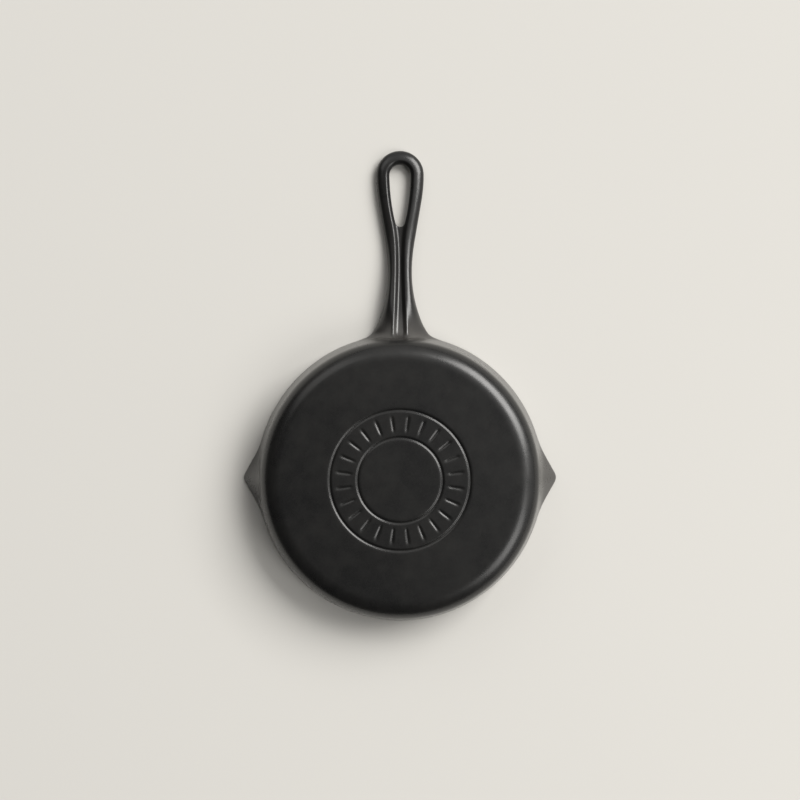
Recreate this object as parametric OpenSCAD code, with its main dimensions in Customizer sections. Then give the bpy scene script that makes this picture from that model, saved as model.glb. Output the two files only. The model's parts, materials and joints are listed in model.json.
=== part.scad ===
// Cast iron skillet: a round pan with two pour lips and a long handle with a hanging loop.
// It is one casting, modelled as its regions, which meet face to face.
// Origin: centre of the resting face. +Z up out of the bowl, +X along the handle, pour lips at +Y and -Y.

/* [Pan] */
// Diameter over the rim, without the pour lips
rim_d = 280; // [230:1:340]
// Height from the resting face to the rim
pan_h = 50; // [40:0.5:64]
// Lean of the wall from upright, in degrees
wall_lean = 11.5; // [5:0.5:20]
// Thickness of the floor
floor_t = 5; // [3.5:0.1:7]
// Thickness of the wall
wall_t = 4.4; // [3.5:0.1:6]
// Outside radius of the heel between floor and wall
heel_r = 19.4; // [12:0.1:24]
// Inside radius of the corner between floor and wall
corner_r = 14; // [8:0.1:18]
// Height of the rim band
rim_band_h = 7; // [4:0.1:10]
// Rounding of the rim's edges
rim_round = 1.6; // [0.8:0.1:1.7]

/* [Pour lips] */
// How far a lip's tip stands out from the rim
lip_reach = 12.4; // [8:0.1:16]
// Angle between a lip's side and its centre line, in degrees
lip_side_angle = 60; // [50:1:64]
// Radius of a lip's tip
lip_tip_r = 9; // [4:0.5:12]
// Lean of a lip's nose from upright, in degrees
lip_lean = 36; // [30:1:45]
// Thickness of a lip at its tip
lip_t = 4.8; // [3.5:0.1:6]

/* [Handle] */
// Length of the handle from the rim to the end of the loop
handle_len = 178.3; // [148:0.5:215]
// Level of the handle's top below the rim
handle_drop = 1; // [0:0.5:6]
// Width of the neck at its narrowest
neck_w = 23.2; // [19:0.1:28]
// Distance from the rim to the narrowest point of the neck
neck_from_rim = 59.5; // [50:0.5:70]
// Plan radius of the flare from the neck to the rim
flare_r = 124; // [100:1:160]
// Plan radius of the shoulder from the neck to the loop
shoulder_r = 170; // [120:5:210]
// Depth of the handle where it meets the wall
root_depth = 24; // [18:0.5:29]
// Depth of the handle at the loop
loop_depth = 9.5; // [8:0.1:12]
// Rounding of the handle's top edges
edge_r = 2.6; // [1:0.1:3.5]
// Distance of each crest from the centre line, at the neck
crest_y = 5.2; // [4.5:0.1:7]
// How much further apart each crest stands at the wall
crest_spread = 2.2; // [1:0.1:6]
// Depth of the channel between the crests
channel_depth = 3.4; // [2:0.1:5]

/* [Hanging loop] */
// Width of the loop
loop_w = 46.6; // [40:0.2:56]
// Plan radius of the loop's bowed sides
bow_r = 150; // [110:5:190]
// Radius of the hole's wide end
hole_r = 10.25; // [8:0.05:12.3]
// Radius of the hole's narrow end
hole_tip_r = 4.6; // [3:0.1:6]
// Length of the hole
hole_len = 60.5; // [50:0.5:70]
// Plan radius of the hole's bowed sides
hole_side_r = 220; // [160:5:400]
// Width of the iron past the hole's wide end
end_w = 13.8; // [11:0.1:17]
// Distance from the hole's edge to the crest around it
hole_lip_w = 3.8; // [3:0.1:5]

/* [Ornament] */
// Radius of the outer ring groove
ring_outer_r = 66; // [58:1:80]
// Radius of the inner ring groove
ring_inner_r = 40; // [30:1:44]
// Width of a groove
groove_w = 2.8; // [1.5:0.1:4]
// Depth of a groove
groove_depth = 0.8; // [0.4:0.1:1.2]
// Number of rays between the rings
ray_count = 24; // [8:1:32]
// Gap between a ray's end and the ring groove beside it
ray_gap = 4; // [2:0.5:6]

/* [Hidden] */
$fn = 160;

iron = "#2b2b2d";
rim_iron = "#3c3a37";
arc_steps = 8;
cut = 1;

// Pan, in radius and height
rim_r = rim_d / 2;
wall_rise = 90 - wall_lean;
base_r = rim_r - (pan_h - heel_r * (1 - cos(wall_rise))) * tan(wall_lean) - heel_r * sin(wall_rise);
inner_rim_r = rim_r - wall_t / cos(wall_lean);
corner_z = floor_t + corner_r;
corner_x = inner_rim_r - (pan_h - corner_z) * tan(wall_lean) - corner_r / cos(wall_lean);
floor_margin = 2;
floor_r = min(base_r, corner_x) - floor_margin;
band_z = pan_h - rim_band_h;

// Pour lips
lip_tip_x = rim_r + lip_reach;
lip_drop = lip_reach / (tan(lip_lean) - tan(wall_lean));
lip_low_z = pan_h - lip_drop - 2;
lip_side_len = 3 * lip_reach;
lip_back = 30;

// Stations along the handle, as distances from the pan's axis
end_x = rim_r + handle_len;
loop_r = loop_w / 2;
loop_x = end_x - loop_r;
hole_x = end_x - end_w - hole_r;
hole_near_x = end_x - end_w - hole_len;
hole_tip_x = hole_near_x + hole_tip_r;
neck_x = rim_r + neck_from_rim;
neck_hw = neck_w / 2;
crest_turn_x = neck_x + 5;
root_x = rim_r - 11;
flare_stop_x = rim_r - 3;
grip_x = rim_r + 24;
bridge_w = 6;
loop_start_x = hole_near_x - bridge_w;
top_z = pan_h - handle_drop;
nose_len = 11;
nose_gap = 0.15;
crest_min = 1;
dip_w = 5;
web_len = 35;
web_share = 0.7;

// Slant of the handle's sides between the shoulder and the loop
side_run = loop_x - neck_x;
side_rise = loop_r - neck_hw;
side_bends = shoulder_r + bow_r;
side_slant = asin(side_bends / norm([side_run, side_bends - side_rise]))
             - atan2(side_bends - side_rise, side_run);
shoulder_x = neck_x + shoulder_r * sin(side_slant);
shoulder_hw = neck_hw + shoulder_r * (1 - cos(side_slant));
bow_x = loop_x - bow_r * sin(side_slant);

// Centre of the hole's bowed sides, from its two end circles
hole_run = hole_x - hole_tip_x;
side_x = hole_tip_x + (pow(hole_side_r - hole_tip_r, 2) - pow(hole_side_r - hole_r, 2) + pow(hole_run, 2))
                      / (2 * hole_run);
side_y = sqrt(pow(hole_side_r - hole_tip_r, 2) - pow(side_x - hole_tip_x, 2));
wide_turn = atan2(side_y, hole_x - side_x);
tip_turn = atan2(side_y, hole_tip_x - side_x);

function lerp(a, b, t) = a + (b - a) * t;
function clamp01(t) = min(1, max(0, t));
function chord(r, d) = sqrt(max(0, r * r - d * d));
function arc(cx, cy, r, a0, a1, n = arc_steps) =
    [for (i = [0:n]) let (a = lerp(a0, a1, i / n)) [cx + r * cos(a), cy + r * sin(a)]];
function outer_r(z) = rim_r - (pan_h - z) * tan(wall_lean);
function inner_r(z) = inner_rim_r - (pan_h - z) * tan(wall_lean);

heel = arc(base_r, heel_r, heel_r, -90, -wall_lean);
corner = arc(corner_x, corner_z, corner_r, -wall_lean, -90);

// Half width of the handle in plan
function half_w(x) =
    x < neck_x ? neck_hw + flare_r - chord(flare_r, neck_x - max(x, flare_stop_x))
    : x < shoulder_x ? neck_hw + shoulder_r - chord(shoulder_r, x - neck_x)
    : x < bow_x ? shoulder_hw + (x - shoulder_x) * tan(side_slant)
    : x < loop_x ? loop_r - bow_r + chord(bow_r, loop_x - x)
    : chord(loop_r, x - loop_x);

// Distance of the crest from the centre line: it follows the hole, the neck and the flare
function hole_crest(x) =
    x > hole_x ? chord(hole_r + hole_lip_w, x - hole_x)
    : chord(hole_side_r + hole_lip_w, x - side_x) - side_y;
function neck_crest(x) = crest_y + crest_spread * pow(clamp01((crest_turn_x - x) / (crest_turn_x - rim_r)), 1.5);
function crest(x) =
    let (t = clamp01((x - crest_turn_x) / (hole_tip_x - crest_turn_x)))
    min(0.45 * half_w(x), max(crest_min,
        x > hole_tip_x ? hole_crest(x) : lerp(neck_crest(x), hole_crest(hole_tip_x), pow(t, 3))));

// Depth of the handle, from its top to the crests
function depth(x) =
    let (t = clamp01((hole_near_x - x) / (hole_near_x - rim_r)))
    lerp(loop_depth, root_depth, t * t);

// One cross-section of the handle, from the middle of its top around both sides
function half_section(x) =
    let (w = half_w(x), c = crest(x), e = min(edge_r, 0.45 * w),
         nose = chord(1, clamp01((x - end_x) / nose_len + 1)),
         brow = chord(1, clamp01((x - end_x) / edge_r + 1)),
         mid_z = top_z - e,
         low_z = mid_z - (depth(x) - e) * nose,
         web = web_share * pow(clamp01((rim_r + web_len - x) / web_len), 2),
         dip = channel_depth * nose * min(1, c / dip_w))
    concat(
        [for (a = [90:-30:30]) [w - e + e * cos(a), mid_z + e * sin(a) * brow]],
        [for (i = [0:8]) let (a = 90 * i / 8)
            [c + (w - c) * cos(a), lerp(mid_z, low_z, lerp(sin(a), pow(1 - cos(a), 2), web))]],
        [for (i = [1:4]) let (u = i / 4)
            [c - u * min(dip_w, 0.95 * c), low_z + dip * (1 - cos(180 * u)) / 2]]);

function section(x) =
    let (half = half_section(x), n = len(half))
    concat([for (p = half) [x, p[0], p[1]]], [for (i = [n - 1:-1:0]) [x, -half[i][0], half[i][1]]]);

// Closed solid through the cross-sections at the stations
module swept(stations) {
    rings = [for (x = stations) section(x)];
    n = len(rings[0]);
    last = len(rings) - 1;
    points = [for (ring = rings) for (p = ring) p];
    sides = [for (i = [0:last - 1]) for (j = [0:n - 1]) let (k = (j + 1) % n)
        each [[i * n + j, i * n + k, (i + 1) * n + k], [i * n + j, (i + 1) * n + k, (i + 1) * n + j]]];
    near_cap = [for (j = [n - 1:-1:0]) j];
    far_cap = [for (j = [0:n - 1]) last * n + j];
    polyhedron(points, concat(sides, [near_cap, far_cap]));
}

function stations(x0, x1, n) = [for (i = [0:n]) lerp(x0, x1, i / n)];

module turned(points) {
    rotate_extrude(angle = 360) polygon(points);
}

// Everything inside the pan's outer surface
module pan_fill() {
    turned(concat([[0, 0]], heel, [[outer_r(pan_h + cut), pan_h + cut], [0, pan_h + cut]]));
}

// Leaning prism of a pour lip, with its nose along +X ending at tip_x in the plane of the rim
module lip_prism(tip_x, low_z, high_z) {
    turn = 90 - lip_side_angle;
    nose_x = tip_x - lip_tip_r;
    foot_x = nose_x + lip_tip_r * cos(turn) - lip_side_len * cos(lip_side_angle);
    foot_y = lip_tip_r * sin(turn) + lip_side_len * sin(lip_side_angle);
    outline = concat(arc(nose_x, 0, lip_tip_r, -turn, turn),
                     [[foot_x, foot_y], [foot_x - lip_back, foot_y],
                      [foot_x - lip_back, -foot_y], [foot_x, -foot_y]]);
    run = 2 * (tip_x + pan_h);
    intersection() {
        translate([0, 0, pan_h]) rotate([0, lip_lean, 0]) translate([0, 0, -run]) linear_extrude(2 * run)
            polygon([for (p = outline) [p[0] * cos(lip_lean), p[1]]]);
        translate([0, -2 * foot_y, low_z]) cube([2 * tip_x, 4 * foot_y, high_z - low_z]);
    }
}

module lip_channel() {
    lip_prism(lip_tip_x - lip_t, lip_low_z, pan_h + cut);
}

module pour_lip() {
    difference() {
        lip_prism(lip_tip_x, lip_low_z, pan_h);
        lip_channel();
        pan_fill();
    }
}

module both_channels() {
    for (a = [90, -90]) rotate([0, 0, a]) lip_channel();
}

// Band along the rim on one side of the pour lips
module rim_half(a) {
    edge = rim_round;
    top = pan_h - edge;
    band = concat([[inner_r(band_z), band_z], [outer_r(band_z), band_z]],
                  arc(rim_r - edge * (1 + tan(wall_lean)), top, edge, 0, 90, 4),
                  arc(inner_rim_r + edge, top, edge, 90, 180, 4));
    color(rim_iron) difference() {
        rotate([0, 0, a - 90]) rotate_extrude(angle = 180) polygon(band);
        both_channels();
    }
}

// Engraved ornament: two rings with rays between them
module ornament() {
    for (r = [ring_inner_r, ring_outer_r])
        turned([[r - groove_w / 2, -cut], [r + groove_w / 2, -cut], [r + groove_w / 2, 0],
                [r + groove_w / 4, groove_depth], [r - groove_w / 4, groove_depth], [r - groove_w / 2, 0]]);
    first = ring_inner_r + groove_w + ray_gap;
    final = ring_outer_r - groove_w - ray_gap;
    for (i = [0:ray_count - 1]) rotate([0, 0, (i + 0.5) * 360 / ray_count]) {
        translate([first, -groove_w / 2, -cut]) cube([final - first, groove_w, groove_depth + cut]);
        for (r = [first, final]) translate([r, 0, -cut]) cylinder(d = groove_w, h = groove_depth + cut);
    }
}

module pan_floor() {
    color(iron) difference() {
        cylinder(r = floor_r, h = floor_t);
        ornament();
    }
}

module side_wall() {
    color(iron) difference() {
        turned(concat([[floor_r, 0]], heel, [[outer_r(band_z), band_z], [inner_r(band_z), band_z]],
                      corner, [[floor_r, floor_t]]));
        both_channels();
    }
}

module rim_handle_side() {
    rim_half(0);
}

module rim_far_side() {
    rim_half(180);
}

module left_pour_lip() {
    color(rim_iron) rotate([0, 0, -90]) pour_lip();
}

module right_pour_lip() {
    color(rim_iron) rotate([0, 0, 90]) pour_lip();
}

module handle_root() {
    color(iron) difference() {
        swept(stations(root_x, grip_x, 14));
        pan_fill();
    }
}

module handle_grip() {
    color(iron) swept(stations(grip_x, loop_start_x, 16));
}

module hanging_loop() {
    hole = concat(arc(hole_x, 0, hole_r, -wide_turn, wide_turn, 16),
                  arc(side_x, -side_y, hole_side_r, wide_turn, tip_turn),
                  arc(hole_tip_x, 0, hole_tip_r, tip_turn, 360 - tip_turn, 12),
                  arc(side_x, side_y, hole_side_r, -tip_turn, -wide_turn));
    nose_x = end_x - nose_len;
    color(iron) difference() {
        swept(concat(stations(loop_start_x, nose_x, 16),
                     [for (a = [75:-15:0]) nose_x + (nose_len - nose_gap) * cos(a)]));
        translate([0, 0, top_z - root_depth]) linear_extrude(2 * root_depth) polygon(hole);
    }
}

pan_floor();
side_wall();
rim_handle_side();
rim_far_side();
left_pour_lip();
right_pour_lip();
handle_root();
handle_grip();
hanging_loop();
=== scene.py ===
import json
import math

import bmesh
import bpy
from mathutils import Matrix, Vector
from mathutils.kdtree import KDTree

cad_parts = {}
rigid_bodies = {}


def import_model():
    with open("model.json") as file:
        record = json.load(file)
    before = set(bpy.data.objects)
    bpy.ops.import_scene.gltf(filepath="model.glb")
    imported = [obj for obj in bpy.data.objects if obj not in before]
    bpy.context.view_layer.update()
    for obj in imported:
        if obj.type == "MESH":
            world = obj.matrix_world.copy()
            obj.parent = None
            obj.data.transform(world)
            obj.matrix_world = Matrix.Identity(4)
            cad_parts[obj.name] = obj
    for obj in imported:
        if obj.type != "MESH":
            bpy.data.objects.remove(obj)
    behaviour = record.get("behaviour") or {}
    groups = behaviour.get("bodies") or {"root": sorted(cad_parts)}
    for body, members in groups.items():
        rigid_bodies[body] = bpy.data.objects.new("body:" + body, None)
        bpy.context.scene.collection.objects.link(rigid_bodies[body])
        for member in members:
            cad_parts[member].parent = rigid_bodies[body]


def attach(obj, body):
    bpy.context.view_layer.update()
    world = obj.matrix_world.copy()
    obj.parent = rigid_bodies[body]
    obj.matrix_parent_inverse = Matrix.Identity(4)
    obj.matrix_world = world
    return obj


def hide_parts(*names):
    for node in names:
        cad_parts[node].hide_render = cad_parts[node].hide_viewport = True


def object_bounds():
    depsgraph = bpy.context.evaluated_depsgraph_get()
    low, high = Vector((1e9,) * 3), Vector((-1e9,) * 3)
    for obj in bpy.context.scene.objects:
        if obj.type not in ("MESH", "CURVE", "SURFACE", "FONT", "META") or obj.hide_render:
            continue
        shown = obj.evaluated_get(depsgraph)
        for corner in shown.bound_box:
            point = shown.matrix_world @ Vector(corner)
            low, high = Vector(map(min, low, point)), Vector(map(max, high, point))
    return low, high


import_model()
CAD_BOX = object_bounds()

bl_info = {
    "name": "Cast Iron Skillet",
    "version": (1, 0, 0),
    "blender": (4, 5, 0),
    "location": "View3D > Sidebar > Skillet",
    "description": "Builds a cast iron skillet as nine regions of one casting, with its studio",
    "category": "Object",
}

MM = 0.001

# ---------------------------------------------------------------- sizes, in millimetres

# the bowl
RIM_R, PAN_H, FLOOR_T, WALL_T = 140.0, 50.0, 5.0, 4.4
LEAN = math.radians(11.5)
HEEL_R, CORNER_R, RIM_ROUND, BAND_Z = 19.4, 14.0, 1.6, 43.0
RISE = math.pi / 2 - LEAN
BASE_R = RIM_R - (PAN_H - HEEL_R * (1 - math.cos(RISE))) * math.tan(LEAN) - HEEL_R * math.sin(RISE)
INNER_RIM_R = RIM_R - WALL_T / math.cos(LEAN)
CORNER_Z = FLOOR_T + CORNER_R
CORNER_X = INNER_RIM_R - (PAN_H - CORNER_Z) * math.tan(LEAN) - CORNER_R / math.cos(LEAN)
FLOOR_R = min(BASE_R, CORNER_X) - 2.0
CENTRE_R = 12.0             # the cage is open inside this radius, and its centres are filled afterwards

# the pour lips
LIP_REACH, LIP_SIDE, LIP_TIP_R, LIP_LEAN, LIP_T = 12.4, math.radians(60), 9.0, math.radians(36), 4.8
LIP_LOW_Z = 25.0            # a lip's lowest row
LIP_PROUD, LIP_THIN = 1.1, 0.8  # make up for what smoothing takes off a lip's outside and inside

# the handle and its hanging loop
END_X, TOP_Z, EDGE_R = 318.3, 49.0, 2.6
NECK_X, NECK_HW, FLARE_R, SHOULDER_R, BOW_R = 199.5, 11.6, 124.0, 170.0, 150.0
LOOP_R = 23.3
LOOP_X = END_X - LOOP_R
GRIP_X, LOOP_START_X = 164.0, 238.0
ROOT_DEPTH, LOOP_DEPTH = 24.0, 9.5
CREST_Y, CREST_SPREAD, CHANNEL_DEPTH, DIP_W = 5.2, 2.2, 3.4, 5.0
WEB_LEN, WEB_SHARE = 35.0, 0.7
ROOT_LOW_Z, ROOT_SWELL = 22.0, 1.5  # lowest row of the handle's opening, and how far the wall swells around it
HOLE_R, HOLE_TIP_R, HOLE_SIDE_R, HOLE_LIP_W = 10.25, 4.6, 220.0, 3.8
HOLE_LEN, END_W = 60.5, 13.8
HOLE_X = END_X - END_W - HOLE_R
HOLE_NEAR_X = END_X - END_W - HOLE_LEN
HOLE_TIP_X = HOLE_NEAR_X + HOLE_TIP_R

SLANT = (math.asin((SHOULDER_R + BOW_R) / math.hypot(LOOP_X - NECK_X, SHOULDER_R + BOW_R - LOOP_R + NECK_HW))
         - math.atan2(SHOULDER_R + BOW_R - LOOP_R + NECK_HW, LOOP_X - NECK_X))
SHOULDER_X = NECK_X + SHOULDER_R * math.sin(SLANT)
SHOULDER_HW = NECK_HW + SHOULDER_R * (1 - math.cos(SLANT))
BOW_X = LOOP_X - BOW_R * math.sin(SLANT)
HOLE_RUN = HOLE_X - HOLE_TIP_X
SIDE_X = HOLE_TIP_X + (((HOLE_SIDE_R - HOLE_TIP_R) ** 2 - (HOLE_SIDE_R - HOLE_R) ** 2 + HOLE_RUN ** 2)
                       / (2 * HOLE_RUN))
SIDE_Y = math.sqrt((HOLE_SIDE_R - HOLE_TIP_R) ** 2 - (SIDE_X - HOLE_TIP_X) ** 2)
WIDE_TURN = math.atan2(SIDE_Y, HOLE_X - SIDE_X)
TIP_TURN = math.atan2(SIDE_Y, HOLE_TIP_X - SIDE_X)

# the ornament
RING_OUTER, RING_INNER, GROOVE_W, RAY_COUNT = 66.0, 40.0, 2.8, 24
GROOVE_SINK = 1.2           # share of its depth that a ring's groove has before smoothing
RAY_SINK = (0.875, 1.5625, 1.5625, 1.5625, 0.875)  # the same along a ray

# the cage's rows and columns
STEPS = 120                 # columns in half a turn
STEP = math.pi / STEPS
LIP_COL, LIP_SPAN, LIP_EDGE = STEPS // 2, 12, 10
HOLE_COL = 8                # half the handle's opening in the wall, in columns


def lerp(a, b, t):
    return a + (b - a) * t


def clamp01(t):
    return min(1.0, max(0.0, t))


def chord(r, d):
    return math.sqrt(max(0.0, r * r - d * d))


def ease(t):
    """1 at t = 0, falling smoothly to 0 at t = 1."""
    return 0.5 + 0.5 * math.cos(math.pi * clamp01(t))


def outer_r(z):
    return RIM_R - (PAN_H - z) * math.tan(LEAN)


def inner_r(z):
    return INNER_RIM_R - (PAN_H - z) * math.tan(LEAN)


def arc(cx, cz, r, a0, a1, n):
    return [(cx + r * math.cos(lerp(a0, a1, i / n)), cz + r * math.sin(lerp(a0, a1, i / n))) for i in range(n + 1)]


def half_w(x):
    """Half width of the handle in plan."""
    if x < NECK_X:
        return NECK_HW + FLARE_R - chord(FLARE_R, NECK_X - max(x, RIM_R - 3)) + 0.9 * clamp01((148 - x) / 10)
    if x < SHOULDER_X:
        return NECK_HW + SHOULDER_R - chord(SHOULDER_R, x - NECK_X)
    if x < BOW_X:
        return SHOULDER_HW + (x - SHOULDER_X) * math.tan(SLANT)
    if x < LOOP_X:
        return LOOP_R - BOW_R + chord(BOW_R, LOOP_X - x)
    return chord(LOOP_R, x - LOOP_X)


def crest(x):
    """Distance of the crest from the centre line."""
    turn_x = NECK_X + 5
    neck = CREST_Y + CREST_SPREAD * clamp01((turn_x - x) / (turn_x - RIM_R)) ** 1.5
    at_hole = chord(HOLE_SIDE_R + HOLE_LIP_W, HOLE_TIP_X - SIDE_X) - SIDE_Y
    return lerp(neck, at_hole, clamp01((x - turn_x) / (HOLE_TIP_X - turn_x)) ** 3)


def depth(x):
    t = clamp01((HOLE_NEAR_X - x) / (HOLE_NEAR_X - RIM_R))
    return lerp(LOOP_DEPTH, ROOT_DEPTH, t * t)


# ---------------------------------------------------------------- the pan's profile

def pan_profile():
    """Rows from the underside's centre, over the rim, to the floor's centre, and the numbers of the marked rows."""
    g, deep = GROOVE_W / 2, bpy.context.scene.skillet_shape.groove_depth * GROOVE_SINK
    rows, mark = [(CENTRE_R, 0), (19, 0), (29, 0)], {}

    def groove(r):
        rows.extend([(r - g - 1, 0), (r - g, 0), (r - g / 2, deep), (r + g / 2, deep), (r + g, 0), (r + g + 1, 0)])

    groove(RING_INNER)
    rows.append((45.2, 0))
    mark["ray"] = range(len(rows), len(rows) + 5)
    rows.extend([(46.8, 0), (48.4, 0), (53, 0), (57.6, 0), (59.2, 0), (60.9, 0)])
    groove(RING_OUTER)
    rows.extend([(77, 0), (88, 0), (100, 0)])
    mark["floor_under"] = len(rows)
    rows.append((FLOOR_R, 0))
    mark["heel"] = len(rows)
    rows.extend(arc(BASE_R, HEEL_R, HEEL_R, -math.pi / 2, -LEAN, 10))
    heights = [18.8, ROOT_LOW_Z, LIP_LOW_Z, 28.5, 32, 36, 39.7, BAND_Z, 46]
    outside = {ROOT_LOW_Z: "hole_low", LIP_LOW_Z: "lip_low", BAND_Z: "band_out"}
    for z in heights:
        if z in outside:
            mark[outside[z]] = len(rows)
        rows.append((outer_r(z), z))
    top = PAN_H - RIM_ROUND
    rows.extend(arc(RIM_R - RIM_ROUND * (1 + math.tan(LEAN)), top, RIM_ROUND, 0, math.pi / 2, 2))
    mark["hole_top"] = len(rows) - 2
    rows.extend(arc(INNER_RIM_R + RIM_ROUND, top, RIM_ROUND, math.pi / 2, math.pi, 2))
    inside = {LIP_LOW_Z: "lip_low_in", BAND_Z: "band_in"}
    for z in reversed(heights[2:]):
        if z in inside:
            mark[inside[z]] = len(rows)
        rows.append((inner_r(z), z))
    rows.append((inner_r(20), 20))
    rows.extend(arc(CORNER_X, CORNER_Z, CORNER_R, -LEAN, -math.pi / 2, 7))
    mark["floor_top"] = len(rows)
    rows.extend([(r, FLOOR_T) for r in (FLOOR_R, 100, 85, 65, 45, 25, CENTRE_R)])
    return rows, mark


def lip_radius(turn, z, back):
    """Distance of a pour lip's face from the pan's axis, at an angle from the lip's centre line."""
    shift = (PAN_H - z) * math.tan(LIP_LEAN) + back
    tip_x = RIM_R + LIP_REACH - LIP_TIP_R - shift
    lean = math.pi / 2 - LIP_SIDE
    tangent = math.atan2(LIP_TIP_R * math.sin(lean), tip_x + LIP_TIP_R * math.cos(lean))
    if abs(turn) < tangent:
        return tip_x * math.cos(turn) + chord(LIP_TIP_R, tip_x * math.sin(turn))
    vertex = tip_x + LIP_TIP_R / math.cos(lean)
    return vertex / (math.cos(turn) + math.tan(lean) * math.sin(abs(turn)))


def soft_max(a, b, blend):
    return 0.5 * (a + b + math.hypot(a - b, blend))


def lip_turn(n):
    """Columns stand closer together near a lip's centre line."""
    return math.copysign(LIP_SPAN * STEP * (abs(n) / LIP_SPAN) ** 1.35, n) if abs(n) < LIP_SPAN else n * STEP


# ---------------------------------------------------------------- the handle's sections

CHAIN = 26                  # points of a half section, from the top's middle to the channel's middle
CHANNEL_SHARE = (0.10, 0.24, 0.40, 0.56, 0.72, 0.84, 0.93, 1.0)


def half_section(start, inner, ridge, edge, deep, web, fullness=2.0):
    """Points in plan and height across half of the handle, or across the loop's limb."""
    mid_z = TOP_Z - EDGE_R
    low_z = mid_z - (deep - EDGE_R)
    out = (edge - ridge).normalized()
    shoulder = edge - out * EDGE_R
    points = [(start.lerp(shoulder, i / 7), TOP_Z) for i in range(8)]
    bend = EDGE_R * math.sin(math.pi / 4)
    points.append((edge - out * (EDGE_R - bend), mid_z + bend))
    for i in range(9):
        a = math.pi / 2 * i / 8
        rounded = (1 - math.cos(a) ** fullness) ** (1 / fullness)
        fall = lerp(rounded, (1 - math.cos(a)) ** 2, web)
        points.append((ridge.lerp(edge, math.cos(a)), lerp(mid_z, low_z, fall)))
    reach = (inner - ridge).length
    for share in CHANNEL_SHARE:
        dip = CHANNEL_DEPTH * 0.5 * (1 - math.cos(math.pi * min(1.0, share * reach / DIP_W)))
        points.append((ridge.lerp(inner, share), low_z + dip))
    return points


def neck_section(x, slant=0.0):
    web = WEB_SHARE * clamp01((RIM_R + WEB_LEN - x) / WEB_LEN) ** 2
    centre = Vector((x, 0))
    return half_section(centre, centre, Vector((x - slant / 2, crest(x))), Vector((x - slant, half_w(x - slant))),
                        depth(x), web, 2 + 0.7 * clamp01((LOOP_START_X - 10 - x) / 40) * clamp01((x - 150) / 35))


def wall_x(y, z):
    return chord(outer_r(z), y)


def root_section(off):
    """The handle's section where it stands a given distance off the wall, point by point."""
    points = []
    for i in range(CHAIN):
        x = RIM_R
        for _ in range(3):
            plan, z = neck_section(x)[i]
            x = wall_x(plan.y, min(z, PAN_H)) + off
        plan, z = neck_section(x)[i]
        points.append((Vector((x, plan.y)), z))
    return points


def limb_sections():
    """Sections round the hanging loop, from the hole's narrow end to the far end on the centre line."""
    sections = []

    def add(inner, normal, ridge, edge):
        points = half_section(inner + normal * 1.2, inner + normal * 0.6, ridge, edge, LOOP_DEPTH, 0.0)
        points.append((inner, points[-1][1] + 1.0))
        points.append((inner, TOP_Z - 1.3))
        sections.append(points)

    for t in (0, 0.22, 0.45, 0.7, 0.9):
        a = lerp(math.pi, TIP_TURN, t)
        normal = Vector((math.cos(a), math.sin(a)))
        ridge_x, edge_x = lerp(HOLE_NEAR_X - 3, HOLE_TIP_X - 2, t), lerp(HOLE_NEAR_X - 1.5, HOLE_TIP_X, t)
        add(Vector((HOLE_TIP_X, 0)) + normal * HOLE_TIP_R, normal, Vector((ridge_x, crest(ridge_x))),
            Vector((edge_x, half_w(edge_x))))
    tip_end, wide_end = HOLE_TIP_X + HOLE_TIP_R * math.cos(TIP_TURN), HOLE_X + HOLE_R * math.cos(WIDE_TURN)
    for k in range(1, 10):
        x = lerp(tip_end, wide_end, k / 10)
        inner = Vector((x, chord(HOLE_SIDE_R, x - SIDE_X) - SIDE_Y))
        normal = (inner - Vector((SIDE_X, -SIDE_Y))).normalized()
        edge_x = lerp(HOLE_TIP_X, LOOP_X, k / 10)
        add(inner, normal, inner + normal * HOLE_LIP_W, Vector((edge_x, half_w(edge_x))))
    for k in range(10):
        a = lerp(WIDE_TURN, 0, k / 9)
        normal = Vector((math.cos(a), math.sin(a)))
        inner = Vector((HOLE_X, 0)) + normal * HOLE_R
        b = lerp(math.pi / 2, 0, k / 9)
        add(inner, normal, inner + normal * HOLE_LIP_W,
            Vector((LOOP_X + LOOP_R * math.cos(b), LOOP_R * math.sin(b))))
    return sections


# ---------------------------------------------------------------- the casting

REGIONS = ("pan_floor", "side_wall", "rim_handle_side", "rim_far_side", "left_pour_lip", "right_pour_lip",
           "handle_root", "handle_grip", "hanging_loop")


def pull_out(bm, chain):
    """Extrudes a chain of points, and gives its new points in the same order."""
    edges = [bm.edges.get((a, b)) for a, b in zip(chain, chain[1:])]
    if len(chain) > CHAIN:
        edges.append(bm.edges.get((chain[-1], chain[0])))
    made = {g for g in bmesh.ops.extrude_edge_only(bm, edges=edges)["geom"] if isinstance(g, bmesh.types.BMVert)}
    fresh = []
    for v in chain:
        fresh.append(next(e.other_vert(v) for e in v.link_edges if e.other_vert(v) in made))
    return fresh


def place(chain, points):
    for v, (plan, z) in zip(chain, points):
        v.co = Vector((plan.x, plan.y, z)) * MM


def turned_pan(bm, rows):
    """Half of the pan as a surface of revolution, and its points by row and column."""
    verts = [bm.verts.new((r * MM, 0, z * MM)) for r, z in rows]
    edges = [bm.edges.new(pair) for pair in zip(verts, verts[1:])]
    bmesh.ops.spin(bm, geom=verts + edges, cent=(0, 0, 0), axis=(0, 0, 1), angle=math.pi, steps=STEPS,
                   use_merge=False)
    bmesh.ops.remove_doubles(bm, verts=bm.verts[:], dist=1e-7)
    tree = KDTree(len(rows))
    for i, (r, z) in enumerate(rows):
        tree.insert((r, z, 0), i)
    tree.balance()
    grid = {}
    for v in bm.verts:
        r = math.hypot(v.co.x, v.co.y) / MM
        row = tree.find((r, v.co.z / MM, 0))[1]
        grid[row, round(math.atan2(abs(v.co.y), v.co.x) / STEP) if r > 0.01 else 0] = v
    return grid


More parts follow.
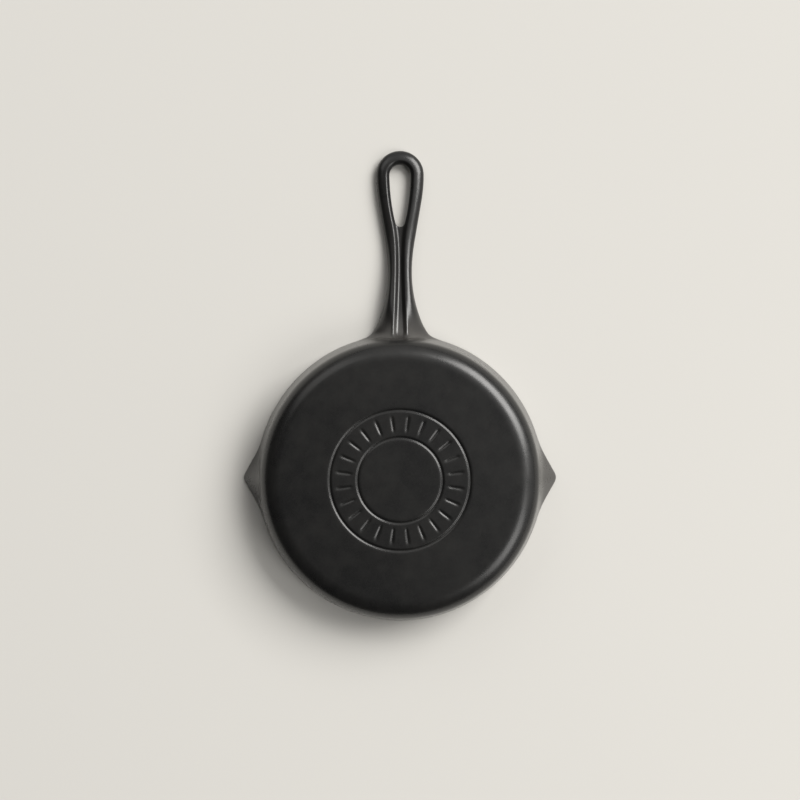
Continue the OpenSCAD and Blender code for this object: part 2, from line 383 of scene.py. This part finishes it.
def shape_pan(rows, mark, grid):
    """Moves the pan's points for the rays and the pour lips."""
    heel, floor_top, shape = mark["heel"], mark["floor_top"], bpy.context.scene.skillet_shape
    for (row, col), v in grid.items():
        r, z = rows[row]
        if row in mark["ray"] and col % (2 * STEPS // RAY_COUNT) == STEPS // RAY_COUNT:
            z += RAY_SINK[row - mark["ray"].start] * shape.groove_depth
        fade = ease((heel + 8 - row) / 8) * ease((row - floor_top + 7) / 7)
        n = col - LIP_COL
        turn = col * STEP
        if abs(n) < LIP_SPAN and fade > 0:
            lip = lerp(n * STEP, lip_turn(n), fade)
            turn = LIP_COL * STEP + lip
            if z > 20:
                across = (outer_r(z) - r) / (outer_r(z) - inner_r(z))
                outside = soft_max(outer_r(z), lip_radius(lip, z, -LIP_PROUD), shape.lip_blend)
                inside = soft_max(inner_r(z), lip_radius(lip, z, LIP_T - LIP_THIN), shape.lip_blend)
                near = ease((abs(n) - 9) / 3)
                r += near * (lerp(outside, inside, across) - r)
        v.co = Vector((r * math.cos(turn), r * math.sin(turn), z)) * MM


def root_outline(rows, mark, off):
    """Angle and height, on the wall, of the line where the handle's fillet starts."""
    foot = [(p.y, z) for p, z in root_section(0.0)]
    line = []
    for i in range(CHAIN):
        if i <= HOLE_COL:
            line.append((i * STEP, rows[mark["hole_top"]][1]))
            continue
        (y0, z0), (y1, z1) = foot[i - 1], foot[min(i + 1, CHAIN - 1)]
        along = Vector((y1 - y0, z1 - z0)).normalized() if i < CHAIN - 1 else Vector((-1, 0))
        push = off * lerp(0.25, 1, clamp01((i - HOLE_COL) / 4))
        y, z = foot[i][0] - along.y * push, foot[i][1] + along.x * push
        y = 0 if i == CHAIN - 1 else y
        line.append((math.asin(y / outer_r(z)), z))
    return line


def open_wall(bm, rows, mark, grid):
    """Opens the wall for the handle, and gives the opening's edge as a chain of points."""
    high, low = mark["hole_top"], mark["hole_low"]
    cells = {v: cell for cell, v in grid.items()}
    gone = []
    for f in bm.faces:
        first, last, _, right = face_cells(f, cells)
        if first >= low and last <= high and right <= HOLE_COL:
            gone.append(f)
    bmesh.ops.delete(bm, geom=gone, context="FACES")
    path = ([(high, c) for c in range(HOLE_COL + 1)] + [(r, HOLE_COL) for r in range(high - 1, low - 1, -1)]
            + [(low, c) for c in range(HOLE_COL - 1, -1, -1)])
    line = root_outline(rows, mark, bpy.context.scene.skillet_shape.root_fillet)
    slide = {cell: (a - cell[1] * STEP, z - rows[cell[0]][1]) for cell, (a, z) in zip(path, line)}
    for (row, col), v in grid.items():
        if row <= mark["floor_under"] or row > high or col > HOLE_COL + 10 or not v.is_valid:
            continue
        near = slide[min(high, max(low, row)), HOLE_COL] if col > HOLE_COL else slide.get((max(low, row), col))
        if near is None:
            continue
        beside, below = ease((col - HOLE_COL) / 10), ease((low - row) / 8)
        z = rows[row][1] + near[1] * beside * clamp01(1 - (low - row) / 2 if row < low else 1)
        turn = col * STEP + near[0] * beside * below
        r = rows[row][0]
        if low - 3 < row < high:
            r = outer_r(z)
        if row > low:
            share = clamp01((HOLE_COL + 4 - col) / 4) ** 2 if col > HOLE_COL else (col / HOLE_COL) ** 3
            r += ROOT_SWELL * share * clamp01((z - 37) / 8)
        v.co = Vector((r * math.cos(turn), r * math.sin(turn), z)) * MM
    return [grid[cell] for cell in path]


def face_cells(face, cells):
    """Lowest and highest row and column of a face's corners."""
    rows, cols = zip(*(cells[v] for v in face.verts))
    return min(rows), max(rows), min(cols), max(cols)


def pan_region(cells, mark):
    """Region, by its number in REGIONS, of a face on the half with the right pour lip."""
    low, high, left, right = cells
    middle = (left + right) / 2
    if high <= mark["floor_under"] or low >= mark["floor_top"]:
        name = "pan_floor"
    elif abs(middle - LIP_COL) < LIP_EDGE and low >= mark["lip_low"] and high <= mark["lip_low_in"]:
        name = "right_pour_lip"
    elif low >= mark["band_out"] and high <= mark["band_in"]:
        name = "rim_handle_side" if middle < LIP_COL else "rim_far_side"
    else:
        name = "side_wall"
    return REGIONS.index(name)


def half_casting(bm):
    rows, mark = pan_profile()
    grid = turned_pan(bm, rows)
    region = bm.faces.layers.int.new("region")
    cells = {v: cell for cell, v in grid.items()}
    for f in bm.faces:
        f[region] = pan_region(face_cells(f, cells), mark)
    shape_pan(rows, mark, grid)
    chain = open_wall(bm, rows, mark, grid)

    def grow(points, part):
        nonlocal chain
        before = set(bm.faces)
        chain = pull_out(bm, chain)
        place(chain, points)
        for f in bm.faces:
            if f not in before:
                f[region] = part

    first = root_section(bpy.context.scene.skillet_shape.root_fillet)
    grow(first, REGIONS.index("handle_root"))
    second_x = 147.5
    second = neck_section(second_x)
    grow([(a.lerp(b, 0.5), lerp(za, zb, 0.5)) for (a, za), (b, zb) in zip(first, second)],
         REGIONS.index("handle_root"))
    for x in (second_x, 152, 157.5, GRIP_X):
        grow(neck_section(x), REGIONS.index("handle_root"))
    for x in (171, 178, 185, 192, 199.5, 207, 214, 221, 228, 233.5, LOOP_START_X):
        grow(neck_section(x), REGIONS.index("handle_grip"))
    loop, limbs = REGIONS.index("hanging_loop"), limb_sections()
    grow(neck_section(241, 0.5), loop)
    grow(limbs[0], loop)
    low, high = limbs[0][CHAIN:]
    extra = [bm.verts.new(Vector((p.x, p.y, z)) * MM) for p, z in (low, high)]
    for a, b in ((chain[-1], extra[0]), (extra[0], extra[1]), (extra[1], chain[0])):
        bm.edges.new((a, b))
    chain += extra
    for points in limbs[1:]:
        grow(points, loop)
    for v in bm.verts:
        if abs(v.co.y) < 2e-6:
            v.co.y = 0


def close_centres(mesh):
    """Fills the round opening in the middle of the underside and of the cooking floor."""
    bm = bmesh.new()
    bm.from_mesh(mesh)
    discs = bmesh.ops.holes_fill(bm, edges=[e for e in bm.edges if e.is_boundary], sides=0)["faces"]
    for f in discs:
        f.smooth = True
    for _ in range(2):
        bmesh.ops.inset_region(bm, faces=discs, thickness=4 * MM, use_even_offset=True)
    bmesh.ops.poke(bm, faces=discs)
    bm.to_mesh(mesh)
    bm.free()


def whole_casting():
    """The whole casting as one smooth mesh, with each face's region and each point's normal."""
    bm = bmesh.new()
    half_casting(bm)
    twin = bmesh.ops.duplicate(bm, geom=bm.verts[:] + bm.edges[:] + bm.faces[:])["geom"]
    bmesh.ops.scale(bm, vec=(1, -1, 1), verts=[g for g in twin if isinstance(g, bmesh.types.BMVert)])
    bmesh.ops.remove_doubles(bm, verts=[v for v in bm.verts if v.co.y == 0], dist=1e-6)
    region = bm.faces.layers.int["region"]
    for f in bm.faces:
        f.smooth = True
        if f[region] == REGIONS.index("right_pour_lip") and f.calc_center_median().y < 0:
            f[region] = REGIONS.index("left_pour_lip")
    bmesh.ops.recalc_face_normals(bm, faces=bm.faces[:])
    mesh = bpy.data.meshes.new("casting")
    bm.to_mesh(mesh)
    bm.free()
    cage = bpy.data.objects.new("casting", mesh)
    bpy.context.scene.collection.objects.link(cage)
    smooth = cage.modifiers.new("Smooth", "SUBSURF")
    smooth.levels = smooth.render_levels = 1
    done = bpy.data.meshes.new_from_object(cage.evaluated_get(bpy.context.evaluated_depsgraph_get()))
    close_centres(done)
    normals = done.attributes.new("skin_normal", "FLOAT_VECTOR", "POINT")
    flat = [0.0] * (3 * len(done.vertices))
    done.vertex_normals.foreach_get("vector", flat)
    normals.data.foreach_set("vector", flat)
    bpy.data.objects.remove(cage)
    bpy.data.meshes.remove(mesh)
    return done


def chains_of(edges):
    """Groups edges that join end to end."""
    left, groups = set(edges), []
    while left:
        todo, group = [left.pop()], []
        while todo:
            e = todo.pop()
            group.append(e)
            for v in e.verts:
                for other in v.link_edges:
                    if other in left:
                        left.remove(other)
                        todo.append(other)
        groups.append(group)
    return groups


def close_region(bm, shell):
    """Closes a region's cut edges with faces inside the iron."""
    rims = [e for e in bm.edges if e.is_boundary]
    if shell:
        below_crown = (PAN_H - 0.3) * MM
        groups = chains_of(e for e in rims if min(v.co.z for v in e.verts) < below_crown)
        groups.sort(key=lambda g: sum(v.co.z for e in g for v in e.verts) / len(g))
        while len(groups) > 1:
            bmesh.ops.bridge_loops(bm, edges=groups.pop() + groups.pop())
    bmesh.ops.holes_fill(bm, edges=[e for e in bm.edges if e.is_boundary], sides=0)


def region_piece(name, number, casting):
    """Cuts one region out of the casting, closes it and keeps the casting's smooth normals on its skin."""
    bm = bmesh.new()
    bm.from_mesh(casting)
    region = bm.faces.layers.int["region"]
    bmesh.ops.delete(bm, geom=[f for f in bm.faces if f[region] != number], context="FACES")
    skin = set(bm.faces)
    close_region(bm, number < REGIONS.index("handle_root"))
    bmesh.ops.recalc_face_normals(bm, faces=bm.faces[:])
    for f in bm.faces:
        f.smooth = f in skin
    bm.faces.index_update()
    caps = {f.index for f in bm.faces if f not in skin}
    mesh = bpy.data.meshes.new(name)
    bm.to_mesh(mesh)
    bm.free()
    kept = mesh.attributes["skin_normal"].data
    normals = [None] * len(mesh.loops)
    for poly in mesh.polygons:
        for i in poly.loop_indices:
            normals[i] = poly.normal[:] if poly.index in caps else kept[mesh.loops[i].vertex_index].vector[:]
    mesh.normals_split_custom_set(normals)
    mesh.attributes.remove(mesh.attributes["skin_normal"])
    mesh.attributes.remove(mesh.attributes["region"])
    piece = bpy.data.objects.new(name, mesh)
    bpy.context.scene.collection.objects.link(piece)
    return piece


def cast_regions(names, finish):
    casting = bpy.data.meshes.get("skillet_casting")
    if casting is None:
        casting = whole_casting()
        casting.name = "skillet_casting"
    for name in names:
        piece = region_piece("iron_" + name, REGIONS.index(name), casting)
        piece.data.materials.append(iron_material(finish))
        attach(piece, "root")
        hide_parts(name)


# ---------------------------------------------------------------- shader nodes

class Wire:
    """A shader socket that takes part in sums."""

    def __init__(self, tree, socket):
        self.tree, self.socket = tree, socket

    def node(self, kind, settings=None, out=0, **inputs):
        return add_node(self.tree, kind, settings, out, **inputs)

    def _sum(self, operation, a, b):
        return add_node(self.tree, "ShaderNodeMath", {"operation": operation}, 0, **{"0": a, "1": b})

    def __add__(self, other): return self._sum("ADD", self, other)
    def __radd__(self, other): return self._sum("ADD", other, self)
    def __sub__(self, other): return self._sum("SUBTRACT", self, other)
    def __rsub__(self, other): return self._sum("SUBTRACT", other, self)
    def __mul__(self, other): return self._sum("MULTIPLY", self, other)
    def __rmul__(self, other): return self._sum("MULTIPLY", other, self)
    def __truediv__(self, other): return self._sum("DIVIDE", self, other)
    def __pow__(self, other): return self._sum("POWER", self, other)

    def rises(self, low, high):
        """0 below low, 1 above high, and a smooth step between."""
        return self.node("ShaderNodeMapRange", {"interpolation_type": "SMOOTHSTEP", "clamp": True}, 0,
                         **{"Value": self, "From Min": low, "From Max": high})


def add_node(tree, kind, settings=None, out=0, **inputs):
    """Adds a node: its settings first, then the values or links of its sockets. Gives one output."""
    node = tree.nodes.new(kind)
    for key, value in (settings or {}).items():
        if key == "stops":
            ramp = node.color_ramp
            for i, (at, colour) in enumerate(value):
                stop = ramp.elements[i] if i < 2 else ramp.elements.new(at)
                stop.position, stop.color = at, colour
        else:
            setattr(node, key, value)
    for key, value in inputs.items():
        socket = node.inputs[int(key)] if key.isdigit() else node.inputs[key.replace("_", " ")]
        if isinstance(value, Wire):
            tree.links.new(value.socket, socket)
        else:
            socket.default_value = value
    return Wire(tree, node.outputs[out])


def new_material(name):
    material = bpy.data.materials.new(name)
    material.use_nodes = True
    material.node_tree.nodes.clear()
    return material, material.node_tree


def iron_material(finish):
    """Seasoned cast iron: a near-black satin skin over fine casting grain, with a little wear along the rim, and the
    outer wall's colour lightened as a painted reflection of the pale table.
    """
    name = finish + "_skin"
    if name in bpy.data.materials:
        return bpy.data.materials[name]
    looks = bpy.context.scene.skillet_iron
    material, tree = new_material(name)
    place_at = add_node(tree, "ShaderNodeTexCoord", out="Object")
    parts = tree.nodes.new("ShaderNodeSeparateXYZ")
    tree.links.new(place_at.socket, parts.inputs[0])
    x, y, z = (Wire(tree, parts.outputs[i]) for i in range(3))
    radius = (x * x + y * y) ** 0.5

    def noise(scale, detail=3.0, rough=0.55):
        return place_at.node("ShaderNodeTexNoise", None, 0, Vector=place_at, Scale=scale, Detail=detail,
                             Roughness=rough)

    cloud, patch, grain, speck = noise(14), noise(70, 4.0), noise(looks.grain_scale, 5.0, 0.6), noise(420, 2.0)
    inside = z.rises(0.0042, 0.0048) * (1 - radius.rises(0.118, 0.132))
    crown = z.rises(0.0478, 0.0497) * radius.rises(0.130, 0.134) * (1 - radius.rises(0.146, 0.150))
    rub = crown * patch.rises(0.38, 0.62)
    # The outer wall's band: below, its colour carries a painted reflection, and it also gets a real coat layer.
    flank = radius.rises(0.1300, 0.1345) * (1 - x.rises(0.140, 0.165)) * (1 - crown)

    tone = cloud.rises(0.3, 0.7) * 0.55 + patch.rises(0.35, 0.65) * 0.3 + speck.rises(0.4, 0.7) * 0.15
    skin = place_at.node("ShaderNodeMix", {"data_type": "RGBA"}, 2, **{
        "0": tone, "6": (*looks.dark_iron, 1), "7": (*looks.warm_iron, 1)})
    worn_and_painted_shine = place_at.node("ShaderNodeMix", {"data_type": "RGBA"}, 2, **{
        "0": rub * 0.45, "6": skin, "7": (*looks.bare_iron_and_painted_shine, 1)})
    # Painted reflection: the outer wall's band is mixed towards the bare iron colour, so the colour stands in for the
    # pale table mirrored in it.
    worn_and_painted_shine = place_at.node("ShaderNodeMix", {"data_type": "RGBA"}, 2, **{
        "0": flank * 0.35, "6": worn_and_painted_shine, "7": (*looks.bare_iron_and_painted_shine, 1)})
    rough = (looks.roughness + (cloud - 0.5) * 0.10 + (patch - 0.5) * 0.10 + (speck - 0.5) * 0.05
             - inside * 0.05 - rub * 0.06)

    height = grain * 0.6 + speck * 0.3 + patch * 0.6 + cloud * 1.2
    bump = place_at.node("ShaderNodeBump", None, 0, Strength=looks.grain_strength, Distance=0.00012, Height=height)
    shader = place_at.node("ShaderNodeBsdfPrincipled", None, 0, **{
        "Base_Color": worn_and_painted_shine, "Roughness": rough, "IOR": 1.5, "Normal": bump,
        "Coat_Weight": flank * looks.flank_sheen, "Coat_Roughness": 0.32})
    tree.links.new(shader.socket, tree.nodes.new("ShaderNodeOutputMaterial").inputs["Surface"])
    return material


def one_sided(name, colour):
    """A matt sheet that is seen only from its front."""
    material, tree = new_material(name)
    place_at = add_node(tree, "ShaderNodeTexCoord", out="Object")
    cloud = place_at.node("ShaderNodeTexNoise", None, 0, Vector=place_at, Scale=1.5, Detail=2.0)
    shade = place_at.node("ShaderNodeMix", {"data_type": "RGBA"}, 2, **{
        "0": cloud, "6": (*colour, 1), "7": (*(c * 0.985 for c in colour), 1)})
    matt = place_at.node("ShaderNodeBsdfDiffuse", None, 0, Color=shade)
    clear = place_at.node("ShaderNodeBsdfTransparent")
    behind = place_at.node("ShaderNodeNewGeometry", None, "Backfacing")
    both = place_at.node("ShaderNodeMixShader", None, 0, **{"0": behind, "1": matt, "2": clear})
    tree.links.new(both.socket, tree.nodes.new("ShaderNodeOutputMaterial").inputs["Surface"])
    return material


# ---------------------------------------------------------------- settings

class SkilletShapeSettings(bpy.types.PropertyGroup):
    groove_depth: bpy.props.FloatProperty(
        name="Groove depth", description="Depth of the ornament's grooves, in millimetres",
        default=0.8, min=0.1, max=1.5)
    lip_blend: bpy.props.FloatProperty(
        name="Lip blend", description="How softly each pour lip joins the rim, in millimetres",
        default=2.2, min=0.5, max=5)
    root_fillet: bpy.props.FloatProperty(
        name="Root fillet", description="Fillet between the handle and the wall, in millimetres",
        default=3.3, min=1, max=5)


class SkilletIronSettings(bpy.types.PropertyGroup):
    dark_iron: bpy.props.FloatVectorProperty(
        name="Dark iron", description="Colour of the darkest seasoning", subtype="COLOR", size=3,
        min=0, max=1, default=(0.0054, 0.0054, 0.0056))
    warm_iron: bpy.props.FloatVectorProperty(
        name="Warm iron", description="Colour of the lighter, warmer seasoning", subtype="COLOR", size=3,
        min=0, max=1, default=(0.0105, 0.0102, 0.0096))
    # Also mixed into the outer wall's band as a painted reflection of the pale table, besides colouring the worn rim.
    bare_iron_and_painted_shine: bpy.props.FloatVectorProperty(
        name="Bare iron", description="Colour where the rim is worn", subtype="COLOR", size=3,
        min=0, max=1, default=(0.075, 0.070, 0.064))
    roughness: bpy.props.FloatProperty(
        name="Roughness", description="Roughness of the seasoned skin", default=0.29, min=0.05, max=1,
        subtype="FACTOR")
    flank_sheen: bpy.props.FloatProperty(
        name="Flank sheen", description="Sheen of the oil that builds up on the outer wall",
        default=0.42, min=0, max=1, subtype="FACTOR")
    grain_scale: bpy.props.FloatProperty(
        name="Grain scale", description="How fine the casting grain is", default=1100, min=200, max=3000)
    grain_strength: bpy.props.FloatProperty(
        name="Grain strength", description="How strongly the grain shows", default=0.10, min=0, max=1,
        subtype="FACTOR")


class SkilletStageSettings(bpy.types.PropertyGroup):
    backdrop: bpy.props.FloatVectorProperty(
        name="Backdrop", description="Colour of the table under the rim", subtype="COLOR", size=3,
        min=0, max=1, default=(0.566, 0.555, 0.528))
    floor: bpy.props.FloatVectorProperty(
        name="Floor", description="Colour of the floor under the base", subtype="COLOR", size=3,
        min=0, max=1, default=(0.80, 0.785, 0.75))
    lens: bpy.props.FloatProperty(
        name="Lens", description="Focal length of the camera, in millimetres", default=56.4, min=20, max=200)
    distance: bpy.props.FloatProperty(
        name="Distance", description="Distance of the camera from the plane of the rim", default=1.225,
        min=0.5, max=5, unit="LENGTH")
    key_power: bpy.props.FloatProperty(
        name="Key light", description="Power of the large soft light", default=2750, min=0, max=5000, unit="POWER")
    side_power: bpy.props.FloatProperty(
        name="Side light", description="Power of the weaker light", default=24, min=0, max=5000, unit="POWER")


# ---------------------------------------------------------------- operators

class SKILLET_OT_pan(bpy.types.Operator):
    """Make the pan's floor and side wall"""
    bl_idname = "skillet.pan"
    bl_label = "Pan"

    def execute(self, context):
        cast_regions(("pan_floor", "side_wall"), "seasoned_iron")
        return {"FINISHED"}


class SKILLET_OT_rim(bpy.types.Operator):
    """Make the rim's two halves and the pour lips"""
    bl_idname = "skillet.rim"
    bl_label = "Rim and pour lips"

    def execute(self, context):
        cast_regions(("rim_handle_side", "rim_far_side", "left_pour_lip", "right_pour_lip"), "rim_iron")
        return {"FINISHED"}


class SKILLET_OT_handle(bpy.types.Operator):
    """Make the handle's root, grip and hanging loop"""
    bl_idname = "skillet.handle"
    bl_label = "Handle"

    def execute(self, context):
        cast_regions(("handle_root", "handle_grip", "hanging_loop"), "seasoned_iron")
        return {"FINISHED"}


def floor_sheet(material):
    """The floor that the skillet stands on, seen from above."""
    bm = bmesh.new()
    bmesh.ops.create_grid(bm, x_segments=1, y_segments=1, size=3.0)
    bmesh.ops.translate(bm, vec=(0, 0, -0.0006), verts=bm.verts[:])
    return stage_object("floor_sheet", bm, material)


def table_cutout():
    """Plan of the opening in the table, just inside the skillet's outline, so that its top side sees the sky."""
    line = [(LOOP_X + (LOOP_R - 1.4) * math.cos(math.pi * i / 16), (LOOP_R - 1.4) * math.sin(math.pi * i / 16))
            for i in range(8)]
    line += [(x, half_w(x) - 1.4) for x in range(int(LOOP_X), 144, -6)]
    first = math.atan2(line[-1][1] + 4, RIM_R - 2)
    line += [((RIM_R - 1.6) * math.cos(a), (RIM_R - 1.6) * math.sin(a))
             for a in (lerp(first, math.pi, i / 60) for i in range(61))]
    return line + [(x, -y) for x, y in line[-2:0:-1]]


def hole_patch():
    """Plan of the patch of table that shows through the hanging hole."""
    wide, tip = HOLE_R + 1.5, HOLE_TIP_R + 1.5
    line = [(HOLE_X + wide * math.cos(math.pi * i / 20), wide * math.sin(math.pi * i / 20)) for i in range(11)]
    line += [(HOLE_TIP_X + tip * math.cos(math.pi * i / 20), tip * math.sin(math.pi * i / 20)) for i in range(11, 21)]
    return line + [(x, -y) for x, y in line[-2:0:-1]]


def table_sheet(material):
    """The table under the upturned rim, seen from the base's side, open where the skillet covers it."""
    bm = bmesh.new()
    z, far = PAN_H * MM + 0.0006, 3.0
    for line in ([(-far / MM, -far / MM), (far / MM, -far / MM), (far / MM, far / MM), (-far / MM, far / MM)],
                 table_cutout()):
        verts = [bm.verts.new((x * MM, y * MM, z)) for x, y in line]
        for i, v in enumerate(verts):
            bm.edges.new((v, verts[i - 1]))
    bmesh.ops.triangle_fill(bm, use_beauty=True, edges=bm.edges[:], normal=(0, 0, -1))
    bmesh.ops.contextual_create(bm, geom=[bm.verts.new((x * MM, y * MM, z)) for x, y in hole_patch()])
    for f in bm.faces:
        f.normal_update()
        if f.normal.z > 0:
            f.normal_flip()
    return stage_object("table_sheet", bm, material)


def stage_object(name, bm, material):
    mesh = bpy.data.meshes.new(name)
    bm.to_mesh(mesh)
    bm.free()
    mesh.materials.append(material)
    thing = bpy.data.objects.new(name, mesh)
    bpy.context.scene.collection.objects.link(thing)
    return thing


def group_of(name, things):
    group = bpy.data.collections.new(name)
    for thing in things:
        group.objects.link(thing)
    return group


def soft_light(name, way, distance, width, height, power, colour):
    """A soft box that faces the pan from a given way."""
    light = bpy.data.lights.new(name, "AREA")
    light.shape, light.size, light.size_y = "RECTANGLE", width, height
    light.energy, light.color = power, colour
    lamp = bpy.data.objects.new(name, light)
    way = Vector(way).normalized()
    lamp.location = Vector((0.05, 0, 0.02)) + way * distance
    lamp.rotation_euler = way.to_track_quat("Z", "Y").to_euler()
    bpy.context.scene.collection.objects.link(lamp)
    return lamp


def way_from(azimuth, off_axis):
    """Direction below the pan, by its turn from +Y towards +X and its angle from straight down."""
    a, b = math.radians(azimuth), math.radians(off_axis)
    return (math.sin(b) * math.sin(a), math.sin(b) * math.cos(a), -math.cos(b))


class SKILLET_OT_stage(bpy.types.Operator):
    """Make the table, the floor, the lights and the camera"""
    bl_idname = "skillet.stage"
    bl_label = "Stage"

    def execute(self, context):
        looks, scene = context.scene.skillet_stage, context.scene
        table = table_sheet(one_sided("table_matt", looks.backdrop))
        table.visible_diffuse = False
        floor = floor_sheet(one_sided("floor_matt", looks.floor))
        floor.visible_shadow = floor.visible_diffuse = floor.visible_glossy = False
        irons = group_of("irons", [o for o in scene.objects if o.name.startswith("iron_")])
        floors = group_of("floors", [floor])

        warm = (1.0, 0.985, 0.96)
        soft_light("key_box", way_from(38, 50), 14.0, 10.0, 7.7, looks.key_power, warm)
        soft_light("side_box", way_from(325, 45), 3.0, 1.1, 1.6, looks.side_power, warm)
        soft_light("fill_box", way_from(130, 50), 3.0, 1.4, 1.8, looks.side_power * 0.4, warm)
        # The lights above the bowl don't reach the table, and the floor's own light is stopped only by the iron.
        pan_top = soft_light("pan_top_box", (-0.35, -0.45, 0.8), 2.0, 1.2, 1.2, 50, warm)
        pan_side = soft_light("pan_top_side", (0.7, 0.5, 0.5), 2.0, 0.8, 1.2, 18, warm)
        pan_top.light_linking.receiver_collection = pan_side.light_linking.receiver_collection = irons
        floor_top = soft_light("floor_top_box", (-0.3, -0.4, 0.85), 4.0, 2.6, 2.6, 110, warm)
        floor_top.light_linking.receiver_collection = floors
        floor_top.light_linking.blocker_collection = irons

        world = bpy.data.worlds.new("studio")
        world.use_nodes = True
        tree = world.node_tree
        tree.nodes.clear()
        coords = add_node(tree, "ShaderNodeTexCoord", out="Generated")
        parts = tree.nodes.new("ShaderNodeSeparateXYZ")
        tree.links.new(coords.socket, parts.inputs[0])
        east, north, up = (Wire(tree, parts.outputs[i]) for i in range(3))
        # A glow around the horizon on the key light's side, and a soft sky above for the bowl.
        towards_key = east * 0.62 + north * 0.79
        glow = up.node("ShaderNodeMapRange", {"clamp": True}, 0, **{
            "Value": towards_key, "From Min": -0.13, "From Max": 0.26, "To Min": 0.0, "To Max": 0.6})
        level = up.rises(-0.05, 0.35) * 0.5 + 0.04 + glow * (1 - up.rises(-0.25, 0.05))
        sky = up.node("ShaderNodeBackground", None, 0, Color=(1.0, 0.99, 0.97, 1), Strength=level)
        tree.links.new(sky.socket, tree.nodes.new("ShaderNodeOutputWorld").inputs["Surface"])
        world.cycles.sampling_method = "NONE"
        scene.world = world
        scene.view_settings.view_transform = "Standard"

        centre_x = (CAD_BOX[0][0] + CAD_BOX[1][0]) / 2 - 0.0138
        camera = bpy.data.cameras.new("camera")
        camera.lens, camera.sensor_width = looks.lens, 36
        camera.clip_start, camera.clip_end = 0.05, 20
        eye = bpy.data.objects.new("camera", camera)
        eye.location = (centre_x, 0, PAN_H * MM - looks.distance)
        eye.rotation_euler = Matrix(((0, 1, 0), (1, 0, 0), (0, 0, -1))).to_euler()
        scene.collection.objects.link(eye)
        scene.camera = eye
        return {"FINISHED"}


class SKILLET_PT_panel(bpy.types.Panel):
    bl_idname = "SKILLET_PT_panel"
    bl_label = "Cast Iron Skillet"
    bl_space_type = "VIEW_3D"
    bl_region_type = "UI"
    bl_category = "Skillet"

    def draw(self, context):
        for name in ("skillet.pan", "skillet.rim", "skillet.handle", "skillet.stage"):
            self.layout.operator(name)
        scene = context.scene
        for group in (scene.skillet_shape, scene.skillet_iron, scene.skillet_stage):
            for name in group.bl_rna.properties.keys():
                if name not in ("rna_type", "name"):
                    self.layout.prop(group, name)


CLASSES = (SkilletShapeSettings, SkilletIronSettings, SkilletStageSettings, SKILLET_OT_pan, SKILLET_OT_rim,
           SKILLET_OT_handle, SKILLET_OT_stage, SKILLET_PT_panel)


def register():
    for cls in CLASSES:
        bpy.utils.register_class(cls)
    bpy.types.Scene.skillet_shape = bpy.props.PointerProperty(type=SkilletShapeSettings)
    bpy.types.Scene.skillet_iron = bpy.props.PointerProperty(type=SkilletIronSettings)
    bpy.types.Scene.skillet_stage = bpy.props.PointerProperty(type=SkilletStageSettings)


def unregister():
    del bpy.types.Scene.skillet_stage
    del bpy.types.Scene.skillet_iron
    del bpy.types.Scene.skillet_shape
    for cls in reversed(CLASSES):
        bpy.utils.unregister_class(cls)


def main():
    register()
    bpy.ops.skillet.pan()
    bpy.ops.skillet.rim()
    bpy.ops.skillet.handle()
    bpy.ops.skillet.stage()
    casting = bpy.data.meshes.get("skillet_casting")
    bpy.data.meshes.remove(casting)
    bpy.context.view_layer.update()


if __name__ == "__main__":
    main()
